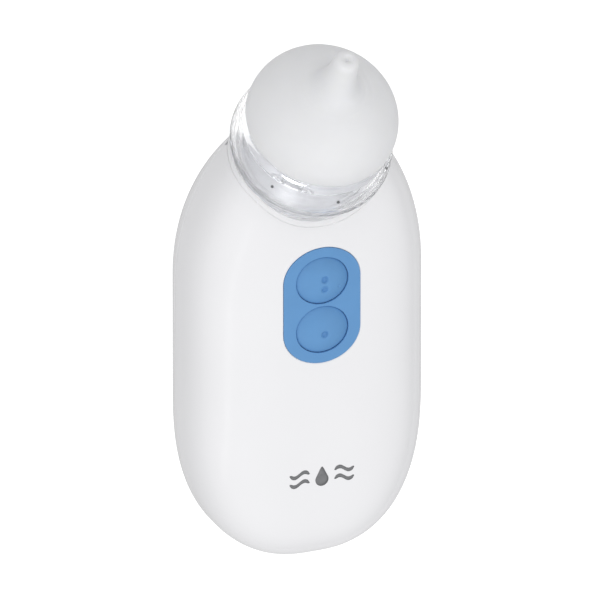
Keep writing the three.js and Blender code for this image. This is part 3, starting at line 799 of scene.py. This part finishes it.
WHITE = gloss_white()
INNER = satin_white()
BLUE = soft_blue()
CLEAR = clear_plastic()
# PIP is painted shade: a dark grey that stands in for how the clear pips look dark against the cup.
PIP = pip_painted_shade()
FROSTED = frosted_silicone(milk=(0.78, 0.785, 0.80))
CLOUDY = frosted_silicone("inner_frosted_silicone", passes=0)
BLACK = black_plastic()
RUBBER = black_rubber()
BOARD = solder_mask()
STEEL = brushed_steel()
SLEEVE = cell_sleeve()
SPRING = brushed_steel("spring_wire", (0.58, 0.46, 0.29), (1, 1, 1))
INK = grey_ink()

# ------------------------------------------------------------------ casing pieces

CASING_GRID = cube_grid((78, 132, 40))


def casing_piece(name, limit, body, extras=(), cuts=()):
    """One moulding of the casing: its share of the skin, what stands on it and what is cut out of it."""
    made = Solid()
    made.add(*shell(on_casing, CASING_GRID[0] * REACH, CASING_GRID[1], limit, WALL))
    for points, faces in extras:
        made.add(points, faces)
    obj = made.piece(name + "_smooth", body, "casing_white", [WHITE], [name])
    if cuts:
        carve(obj, cuts)
    crisp(obj, 40)


def carve(obj, cuts):
    """Takes closed bodies out of a piece, and keeps the result as its mesh."""
    tool = Solid()
    for points, faces in cuts:
        tool.add(points, faces)
    mesh = mesh_from(obj.name + "_tool", tool.points, tool.faces)
    cutter = linked(obj.name + "_tool", mesh)
    modifier = obj.modifiers.new("cuts", "BOOLEAN")
    modifier.operation = "DIFFERENCE"
    modifier.solver = "EXACT"
    modifier.use_self = True
    modifier.object = cutter
    result = bpy.data.meshes.new_from_object(obj.evaluated_get(bpy.context.evaluated_depsgraph_get()))
    obj.modifiers.remove(modifier)
    whole = obj.data
    obj.data = result
    bpy.data.objects.remove(cutter)
    bpy.data.meshes.remove(mesh)
    bpy.data.meshes.remove(whole)


def tube(x, y, inner, outer, low, high):
    """An upright moulded tube whose ends stay inside the casing's walls."""
    profile = [(inner, low + 0.2), (inner + 0.2, low), (outer - 0.2, low), (outer, low + 0.2), (outer, high),
               (inner, high)]
    points, faces = moved(turned(profile, 48), (x, y, 0))
    points[:, 2] = np.minimum(points[:, 2], face_z(points[:, 0], points[:, 1]) - 0.7)
    return points, faces


def stadium(x, low_y, high_y, half, z0, z1):
    """A slot's shape: a bar with round ends, from z0 up to z1."""
    outline = []
    for centre, start in ((high_y - half, 0), (low_y + half, math.pi)):
        for k in range(9):
            a = start + math.pi * k / 8
            outline.append((x + half * math.cos(a), centre + half * math.sin(a)))
    count = len(outline)
    points = [(px, py, z) for z in (z0, z1) for px, py in outline]
    faces = [list(range(count))[::-1], list(range(count, 2 * count))]
    return points, faces + band(0, count, count)


CASE_SCREW = Sizes(x=23, y=20, post=2.9, hole=1.3, head=2.3, head_z=8.5, seam=seam_z(20), top=31)
FRAME_SCREWS = [(x, y) for x in (-21.5, 21.5) for y in (-31, 2)]
FRAME_POST = Sizes(hole=1.3, r=2.8, low=22.4, high=31.5)
VENTS = Sizes(xs=(-9, -4.5, 0, 4.5, 9), low=26, high=34, half=0.7)
GROOVES = Sizes(low=-2.5, step=2.2, count=5, half_length=8, r=0.62, z=-0.12)
HOOKS = Sizes(x=13.3, half=0.6, reach=1.1, length=6, ys=(-30, -8), lip_z=4.3)
DOOR_SKIN = 1.5  # a level inside the door's skin, from which its hooks and tongue rise
TONGUE = Sizes(half=7, y=7.5, root_y=10.5, end_y=15.5, low=2.35, high=3.5)


def front_bosses():
    post, screw = FRAME_POST, CASE_SCREW
    parts = [tube(x, y, post.hole, post.r, post.low, post.high) for x, y in FRAME_SCREWS]
    for x in (-screw.x, screw.x):
        parts.append(tube(x, screw.y, screw.hole, screw.post, screw.seam + 0.2, screw.top))
    return parts


def back_posts():
    parts = []
    for x in (-CASE_SCREW.x, CASE_SCREW.x):
        top = CASE_SCREW.seam - 0.2
        profile = [(CASE_SCREW.head, 0), (3, 0), (3, top - 0.2), (2.8, top), (1.7, top), (1.5, top - 0.2),
                   (1.5, CASE_SCREW.head_z), (CASE_SCREW.head, CASE_SCREW.head_z)]
        points, faces = moved(turned(profile, 48), (x, CASE_SCREW.y, 0))
        points[:, 2] = np.maximum(points[:, 2], back_z(points[:, 0], points[:, 1]) + 0.6)
        parts.append((points, faces))
    return parts


def back_cuts():
    cuts = [stadium(x, VENTS.low, VENTS.high, VENTS.half, -1, 4) for x in VENTS.xs]
    for x in (-CASE_SCREW.x, CASE_SCREW.x):
        well = turned([(0, -1), (CASE_SCREW.head, -1), (CASE_SCREW.head, 8.3), (0, 8.3)], 48)
        cuts.append(moved(well, (x, CASE_SCREW.y, 0)))
    return cuts


def door_extras():
    """Two hooks a side that run over the tray's ledges, and the tongue that slips under the casing."""
    parts = []
    for side in (-1, 1):
        for y in HOOKS.ys:
            stem, lip = side * HOOKS.x, side * (HOOKS.x + HOOKS.reach)
            for x, low in ((stem, DOOR_SKIN), (lip, HOOKS.lip_z)):
                end = (x + HOOKS.half, y + HOOKS.length, DOOR.z)
                parts.append(block((x - HOOKS.half, y, low), end, 0.15))
    for low, end_y, edge in ((DOOR_SKIN, TONGUE.root_y, 0.2), (TONGUE.low, TONGUE.end_y, 0.3)):
        parts.append(block((-TONGUE.half, TONGUE.y, low), (TONGUE.half, end_y, TONGUE.high), edge))
    return parts


def door_cuts():
    """The finger grooves across the door."""
    cuts = []
    for k in range(GROOVES.count):
        y = GROOVES.low + GROOVES.step * k
        line = [(x, y, GROOVES.z) for x in np.linspace(-GROOVES.half_length, GROOVES.half_length, 5)]
        cuts.append(swept(line, GROOVES.r, 24))
    return cuts


casing_piece("front_shell", front_limit, "casing", front_bosses())
casing_piece("back_shell", back_limit, "casing", back_posts(), back_cuts())
casing_piece("battery_door", door_limit, "battery_door", door_extras(), door_cuts())


# Under the seat's bowl: the socket for the cup's spigot, the well of the port, and the hole beyond it.
SOCKET = Sizes(r=4.95, outer_r=6.15, z=-29, well_r=2, well_z=-33, hole_r=0.4, end_z=-34.4)


def cup_seat():
    """The bowl that holds the cup. Its rim follows the casing's surface."""
    sides, rows, lip = 176, 26, 0.22
    angles = 2 * np.pi * np.arange(sides) / sides

    def ring(r, z):
        return on_head(as_points(r * np.cos(angles), r * np.sin(angles), np.zeros(sides) + z))

    def wall(grow, reach):
        line = np.array(seat_profile(grow)[::-1] + [(seat_profile(grow)[0][0], 8.0)])
        run = np.concatenate([[0], np.cumsum(np.hypot(*np.diff(line, axis=0).T))])

        def at(distance):
            return ring(np.interp(distance, run, line[:, 0]), np.interp(distance, run, line[:, 1]))

        top = first_crossing(lambda d: fullness(at(d)) < 1, np.full(sides, run[-1]))
        return [at((top - reach) * k / rows) for k in range(rows + 1)], at(top)

    outer, outer_top = wall(SEAT.gap + SEAT.wall, lip)
    inner, inner_top = wall(SEAT.gap, lip)
    middle_out = outer_top + (inner_top - outer_top) * 0.2
    middle_in = outer_top + (inner_top - outer_top) * 0.8
    under = seat_profile(SEAT.gap + SEAT.wall)[-1][1]
    floor = seat_profile(SEAT.gap)[-1][1]

    port = SOCKET
    socket = [ring(port.r, floor), ring(port.r, port.z), ring(port.well_r, port.z),
              ring(port.well_r, port.well_z), ring(port.hole_r, port.well_z)]
    outside = [ring(port.hole_r, port.end_z), ring(port.outer_r, port.end_z), ring(port.outer_r, under)]
    rings = outside + outer
    rings += [outer_top * 0.55 + outer[-1] * 0.2 + middle_out * 0.25, middle_out, middle_in,
              inner_top * 0.55 + inner[-1] * 0.2 + middle_in * 0.25]
    rings += inner[::-1] + socket
    points = np.concatenate(rings)
    faces = []
    for i in range(len(rings)):
        faces += band(i * sides, (i + 1) % len(rings) * sides, sides)
    made = Solid().add(points, outward(points, faces))
    barb, faces = turned(rounded([(0.8, 0), (1.5, 0), (1.5, 5.4), (0.8, 5.4)], 0.15), 24)
    x, y, z = np.array(barb, float).T
    _, port_y, port_z = on_head([(0, 0, PORT_Z)])[0]
    barb = as_points(-z - 5, x + port_y, y + port_z)
    made.add(barb, outward(barb, faces))
    crisp(made.piece("cup_seat_smooth", "casing", "casing_white", [WHITE], ["cup_seat"]), 50)


cup_seat()


# ------------------------------------------------------------------ panel, buttons and print


GRID_STEP = 0.2


def button_panel():
    params, quads = flat_grid(PANEL.half_width + 1, PANEL.straight + PANEL.end + 1, GRID_STEP)

    def place(at):
        return on_face(at, PANEL.y, PANEL.proud)

    def limit(points):
        holes = [in_button(points, y, BUTTON_ROOM) for y in BUTTON_Y.values()]
        return np.maximum(-in_panel(points, PANEL_GROWN), np.maximum(*holes))

    made = Solid().add(*shell(place, params, quads, limit, PANEL.wall, PANEL.lip))
    made.piece("button_panel_smooth", "casing", "button_blue", [BLUE], ["button_panel"])


DIMPLE_POWER = 5  # how steep a dimple's side is
# Dimples in each button, as (x and y from the button's centre, radius, depth).
DIMPLES = {
    "button_high": [(0.15, 0.76, 0.8, 0.8), (0.15, -1.9, 0.8, 0.8), (4.2, -1.7, 0.4, 0.2)],
    "button_low": [(0.15, -0.85, 0.8, 0.8)],
}


def button(name):
    y0 = BUTTON_Y[name]
    params, quads = flat_grid(BUTTON.half_width + 0.6, BUTTON.half_length + 0.6, GRID_STEP)

    def place(at):
        out = np.hypot(at[:, 0] / BUTTON.half_width, at[:, 1] / BUTTON.half_length)
        crown = BUTTON.crown * (1 - np.minimum(out, 1) ** BUTTON.crown_power)
        for x, y, r, depth in DIMPLES[name]:
            crown -= depth * np.exp(-((np.hypot(at[:, 0] - x, at[:, 1] - y) / r) ** DIMPLE_POWER))
        return on_face(at, y0, BUTTON.edge + crown)

    def limit(points):
        return -in_button(points, y0, 0)

    made = Solid().add(*shell(place, params, quads, limit, BUTTON.wall, BUTTON.lip, steps=5))
    made.piece(name + "_smooth", name, "button_blue", [BLUE], [name])


button_panel()
for button_name in BUTTON_Y:
    button(button_name)

MARK = Sizes(y=-33.8, stroke=0.5, proud=0.03)


def printed_mark():
    """A plain pictogram printed on the face: a drop between two pairs of short waves."""
    made = Solid()

    def lay(flat, faces):
        made.add(on_face(np.asarray(flat, float), MARK.y, MARK.proud), faces)

    for side in (-1, 1):
        for level in (-1.2, 1.2):
            flat, faces = [], []
            steps = 28
            for i in range(steps + 1):
                t = i / steps
                x = side * (3.3 + 5.3 * t)
                y = level + 0.62 * math.sin(2 * math.pi * t)
                half = MARK.stroke * min(1, 0.25 + 3 * math.sin(math.pi * t))
                flat += [(x, y - half), (x, y + half)]
            for i in range(steps):
                a = 2 * i
                quad = [a, a + 2, a + 3, a + 1]
                faces.append(quad if side > 0 else quad[::-1])
            lay(flat, faces)
    flat, faces, around = [(0, -0.5)], [], 40
    for ring in (0.5, 1):
        for k in range(around):
            a = 2 * math.pi * k / around
            pull = max(0, math.sin(a)) ** 6
            x = 1.75 * math.cos(a) * (1 - 0.15 * pull)
            y = -0.9 + 1.75 * math.sin(a) + 1.75 * pull
            flat.append((x * ring, -0.5 + (y + 0.5) * ring))
    for k in range(around):
        n = (k + 1) % around
        faces.append([0, 1 + k, 1 + n])
        faces.append([1 + k, 1 + around + k, 1 + around + n, 1 + n])
    lay(flat, faces)
    obj = made.piece("printed_mark", "casing", "switch_black", [INK])
    thick = obj.modifiers.new("ink", "SOLIDIFY")
    thick.thickness = 0.00004


printed_mark()

# ------------------------------------------------------------------ the head


def head_piece(name, body, slot, materials, shapes, nodes):
    made = Solid()
    for number, (points, faces) in shapes:
        made.add(on_head(points), faces, number)
    return made.piece(name, body, slot, materials, nodes)


def nozzle():
    """A thin dome that sweeps up into a short blunt tip with the suction hole in it."""
    inner_r, inner_h = RIM_R - SILICONE - 0.2, DOME_H - SILICONE
    steps = 32

    def arch(r, h, share):
        return [(r * math.cos(share(i / steps)), h * math.sin(share(i / steps))) for i in range(steps + 1)]

    last, first = math.acos((NECK[0][0] + 0.8) / RIM_R), math.acos(TIP.bore / inner_r)
    outer = arch(RIM_R, DOME_H, lambda t: last * t)
    inner = arch(inner_r, inner_h, lambda t: first * (1 - t))
    mouth = [(1.45, TIP.z), (1.05, TIP.z - 0.25), (TIP.bore, TIP.z - 0.5)]
    neck = curve_through([outer[-2], *NECK, *mouth], 6)[6:]
    skirt = [(inner_r, -1.6), (RIM_R - 0.8, -1.6), (RIM_R - 0.25, -1.35), (RIM_R - 0.02, -0.7)]
    profile = skirt + outer + neck + inner[:-1] + [(inner_r, -1.2)]
    head_piece("nozzle_smooth", "nozzle", "soft_frosted", [FROSTED], [(0, turned(profile))], ["nozzle"])


def collection_cup():
    """The clear cup, with its collar, its shoulder, the riser in its middle and the spigot under it."""
    groove = [(18.25, -6.0), (18.25, -6.4)]  # under the collar
    side = curve_through(CUP_SIDE[1:3], 3) + groove + curve_through(CUP_SIDE[3:], 7)
    inside = [(r - CUP_WALL, z + CUP_WALL * ((-z - 6) / 20) ** 2) for r, z in CUP_SIDE[3:]]
    inside = curve_through(inside, 7)
    neck = 17.1
    spigot = Sizes(r=3.5, low=-28.6, bore=1.9, riser=-11.0)
    base, floor = CUP_SIDE[-1][1], CUP_SIDE[-1][1] + CUP_WALL
    lower = rounded([(spigot.bore, spigot.low), (spigot.r, spigot.low), (spigot.r, base)], 0.25)[6:-6]
    profile = [(spigot.bore, spigot.low), *lower, (spigot.r, base), *reversed(side), (18.9, -2.1),
               (18.7, -1.9), (neck, -1.9), (neck, 1.1), (neck - 0.3, 1.4), (neck - CUP_WALL + 0.3, 1.4),
               (neck - CUP_WALL, 1.1), (neck - CUP_WALL, -5.2), *inside, (3.4, floor), (3.2, floor + 0.2),
               (3.2, spigot.riser - 0.2), (3.0, spigot.riser), (spigot.bore, spigot.riser)]
    shapes = [(0, turned(profile, 176))]
    pip = Sizes(r=0.4, out=19.45, z=-8)
    half_turn = [math.pi * k / 8 for k in range(9)]
    ball = turned([(pip.r * math.sin(a), pip.r * math.cos(a)) for a in half_turn], 16)
    # The three pips take material 1, PIP, which is painted dark as painted shade.
    for degrees in (-39, -90, -141):
        a = math.radians(degrees)
        shapes.append((1, moved(ball, (pip.out * math.cos(a), pip.out * math.sin(a), pip.z))))
    cup = head_piece("collection_cup_smooth", "cup", "clear_plastic", [CLEAR, PIP], shapes, ["collection_cup"])
    crisp(cup, 40)


def splash_cap():
    profile = rounded([(3.5, -15.5), (4.3, -15.5), (4.3, -12.5), (6.4, -11.8), (6.2, -10.6), (4.2, -9),
                       (0, -8.4), (0, -10.6), (3.5, -10.6)], 0.4)
    shapes = [(0, turned(profile, 64))]
    crisp(head_piece("splash_cap_smooth", "cup", "soft_frosted", [CLOUDY], shapes, ["splash_cap"]), 40)


def cup_seal():
    ring = [(4.24 + x, -27.6 + y) for x, y in circle(0.4, 16)]
    head_piece("cup_seal_smooth", "cup", "soft_frosted", [CLOUDY], [(0, turned(ring, 72))], ["cup_seal"])


nozzle()
collection_cup()
splash_cap()
cup_seal()

# ------------------------------------------------------------------ cells, springs and the hose

CELL = Sizes(r=7.25, length=50.5, x=7.7, z=12.9, nub_r=2.75, nub=1.2)
BAY_LOW = -44.3
SPRING_ROOM = 1.9
BAY_HIGH = BAY_LOW + GAP + CELL.length + SPRING_ROOM


def cell(side):
    """One AA cell: a sleeve rolled over its ends, a bright cap with its nub, and a flat bright base."""
    low = BAY_LOW + (SPRING_ROOM if side > 0 else GAP)
    top = CELL.length - CELL.nub
    sleeve = [(CELL.r - 1.3, 0.35), (CELL.r - 1, 0), (CELL.r - 0.4, 0), (CELL.r, 0.4), (CELL.r, top - 0.5),
              (CELL.r - 0.5, top), (CELL.r - 1.1, top), (CELL.r - 1.4, top - 0.35)]
    metal = [(0, 0.15), (CELL.r - 1.3, 0.15), (CELL.r - 1.3, top - 0.25), (CELL.nub_r + 1.2, top - 0.25),
             (CELL.nub_r + 0.2, top + 0.1), (CELL.nub_r, top + 0.5), (CELL.nub_r - 0.2, CELL.length - 0.15),
             (CELL.nub_r - 0.6, CELL.length), (0, CELL.length)]
    made = Solid()
    for paint, profile in ((0, sleeve), (1, metal)):
        points, faces = turned(profile, 72)
        points = np.asarray(points, float)
        if side < 0:
            points = points * (1, 1, -1) + (0, 0, CELL.length)
            faces = [face[::-1] for face in faces]
        placed = along_y(points + (0, 0, low), side * CELL.x, CELL.z)
        made.add(placed, outward(placed, faces), paint)
    name = "battery_right" if side > 0 else "battery_left"
    crisp(made.piece(name + "_smooth", "casing", "cell_sleeve", [SLEEVE, STEEL], [name]), 30)


def contact_spring(name, side, y, direction):
    """A coil that narrows from its seat toward the cell."""
    coil = Sizes(turns=2.2, wide=4.2, narrow=2.0, rise=0.7, wire=0.3)
    line = []
    for i in range(97):
        t = i / 96
        a = 2 * math.pi * coil.turns * t
        r = coil.wide + (coil.narrow - coil.wide) * t
        line.append((side * CELL.x + direction * r * math.cos(a), y + direction * coil.rise * t,
                     CELL.z + r * math.sin(a)))
    made = Solid().add(*swept(line, coil.wire, 12))
    crisp(made.piece(name + "_smooth", "casing", "spring_metal", [SPRING], [name]), 50)


def suction_hose():
    """From the seat's port to the pump's inlet."""
    _, y, z = on_head([(0, 0, PORT_Z)])[0]
    inlet = Sizes(y=31.4, z=14.5)
    route = [(-6.7, y, z), (-9, y, z), (-11.6, y - 0.3, z), (-14, y - 1.6, (z + inlet.z) / 2),
             (-15, y - 4, inlet.z), (-15, inlet.y + 0.4, inlet.z)]
    made = Solid().add(*swept(curve_through(route, 8), 2.7, 28))
    crisp(made.piece("suction_hose_smooth", "casing", "soft_frosted", [CLOUDY], ["suction_hose"]), 50)


cell(-1)
cell(1)
contact_spring("spring_minus", -1, BAY_HIGH - 2 * GAP, -1)
contact_spring("spring_bridge", 1, BAY_LOW + 2 * GAP, 1)
suction_hose()

# ------------------------------------------------------------------ pieces that keep their CAD shape

KEPT = [
    (INNER, ["mid_frame", "eccentric", "pump_bracket", "pump_ring", "valve_plate"]),
    (BLACK, ["plunger_high", "switch_high", "plunger_low", "switch_low", "pump_head"]),
    (BOARD, ["circuit_board"]),
    (CLEAR, ["indicator_lamp"]),
    (STEEL, ["contact_bridge", "contact_minus", "contact_plus", "motor_can", "motor_shaft"]),
    (STEEL, ["frame_screw_1", "frame_screw_2", "frame_screw_3", "frame_screw_4"]),
    (STEEL, ["case_screw_left", "case_screw_right"]),
    (RUBBER, ["diaphragm", "valve_flap_inlet", "valve_flap_outlet"]),
]
for node_material, node_name in ((material, name) for material, names in KEPT for name in names):
    node = frame["nodes"][node_name]
    node.data.materials.clear()
    node.data.materials.append(node_material)
    softened = node.modifiers.new("edges", "BEVEL")
    softened.width = 0.00012
    softened.segments = 2
    softened.limit_method = "ANGLE"
    softened.angle_limit = math.radians(40)

# ------------------------------------------------------------------ floor, light and camera

VIEW_RIGHT = Vector((0.926, 0, 0.378))
VIEW_UP = Vector((0.151, 0.916, -0.371))
TO_CAMERA = VIEW_RIGHT.cross(VIEW_UP).normalized()
FIELD = 0.14815  # metres across the picture
LENS = 1600.0
SENSOR = 36.0
LOOK_AT = Vector(row((1.0, 6.69, 16.9)))


def pale_paper():
    """White paper, pure white to the eye and through the cup, that lights the object a little less."""
    paint = Paint("floor_pale", Base_Color=(0.25, 0.25, 0.25, 1), Roughness=0.9, Specular_IOR_Level=0,
                  Emission_Color=(1, 1, 1, 1))
    path = paint.node("LightPath").outputs
    seen = paint.node("Math", {0: path["Is Camera Ray"], 1: path["Is Transmission Ray"]}, operation="MAXIMUM")
    strength = paint.between(seen.outputs["Value"], 0, 1, 0.4, 1.0)
    return paint.feed("Emission Strength", strength).material


def floor():
    """A sheet that lies just under the object."""
    half, z = 3.0, -0.00005
    mesh = bpy.data.meshes.new("floor")
    corners = [(-half, -half, z), (half, -half, z), (half, half, z), (-half, half, z)]
    mesh.from_pydata(corners, [], [(0, 1, 2, 3)])
    mesh.materials.append(pale_paper())
    obj = linked("floor", mesh)


def softbox(name, toward, distance, width, height, power):
    """An area light that looks at the object from the direction given."""
    light = bpy.data.lights.new(name, "AREA")
    light.shape = "RECTANGLE"
    light.size, light.size_y = width, height
    light.energy = power
    direction = Vector(toward).normalized()
    turn = direction.to_track_quat("Z", "Y").to_matrix().to_4x4()
    obj = linked(name, light)
    obj.matrix_world = Matrix.Translation(LOOK_AT + direction * distance) @ turn


def glow(name, at, r, power):
    """A soft round light inside the head, for what silicone and clear plastic let in from all sides."""
    light = bpy.data.lights.new(name, "POINT")
    light.shadow_soft_size = r / 1000
    light.energy = power
    linked(name, light).location = Vector(row(on_head([at]))[0])


def camera():
    data = bpy.data.cameras.new("camera")
    data.lens = LENS
    data.sensor_width = SENSOR
    data.clip_start, data.clip_end = 0.05, 20
    up = TO_CAMERA.cross(VIEW_RIGHT).normalized()
    turn = Matrix((VIEW_RIGHT, up, TO_CAMERA)).transposed().to_4x4()
    obj = linked("camera", data)
    obj.matrix_world = Matrix.Translation(LOOK_AT + TO_CAMERA * (FIELD * LENS / SENSOR)) @ turn
    bpy.context.scene.camera = obj


# How bright the tent is on each side, and as the camera sees it. Height runs from 0 to 1 at the zenith.
SKY = Sizes(left=0.86, right=0.1, near=1.02, far=0.92, top=1.12, top_starts=0.05, top_full=0.72, seen=0.95)


def world():
    """A white tent round the object: brightest overhead, dimmer to the right than to the left."""
    made = bpy.data.worlds.new("world")
    made.use_nodes = True
    tree = made.node_tree
    background = tree.nodes["Background"]

    def node(kind, *inputs, **settings):
        given = {key: value for key, value in enumerate(inputs) if value is not None}
        return add_node(tree, kind, given, **settings).outputs

    def ramp(value, low, high, to_low, to_high):
        return node("MapRange", value, low, high, to_low, to_high, interpolation_type="SMOOTHSTEP")["Result"]

    direction = node("SeparateXYZ", node("TexCoord")["Generated"])
    across = ramp(direction["X"], -0.9, 0.9, SKY.left, SKY.right)
    along = ramp(direction["Y"], -0.8, 0.9, SKY.near, SKY.far)
    around = node("Math", across, along, operation="MULTIPLY")["Value"]
    height = ramp(direction["Z"], SKY.top_starts, SKY.top_full, 0.0, 1.0)
    sky = node("Mix", height, None, around, SKY.top)["Result"]
    seen = node("LightPath")["Is Camera Ray"]
    tree.links.new(node("Mix", seen, None, sky, SKY.seen)["Result"], background.inputs["Strength"])
    background.inputs["Color"].default_value = (1, 1, 1, 1)
    bpy.context.scene.world = made


floor()
camera()
world()
softbox("left_strip", (-0.427, -0.4, 0.81), 0.8, 0.05, 0.6, 0.12)
glow("cup_glow", (0, 0, -20), 2.5, 0.001)
bpy.context.scene.view_settings.view_transform = "Standard"
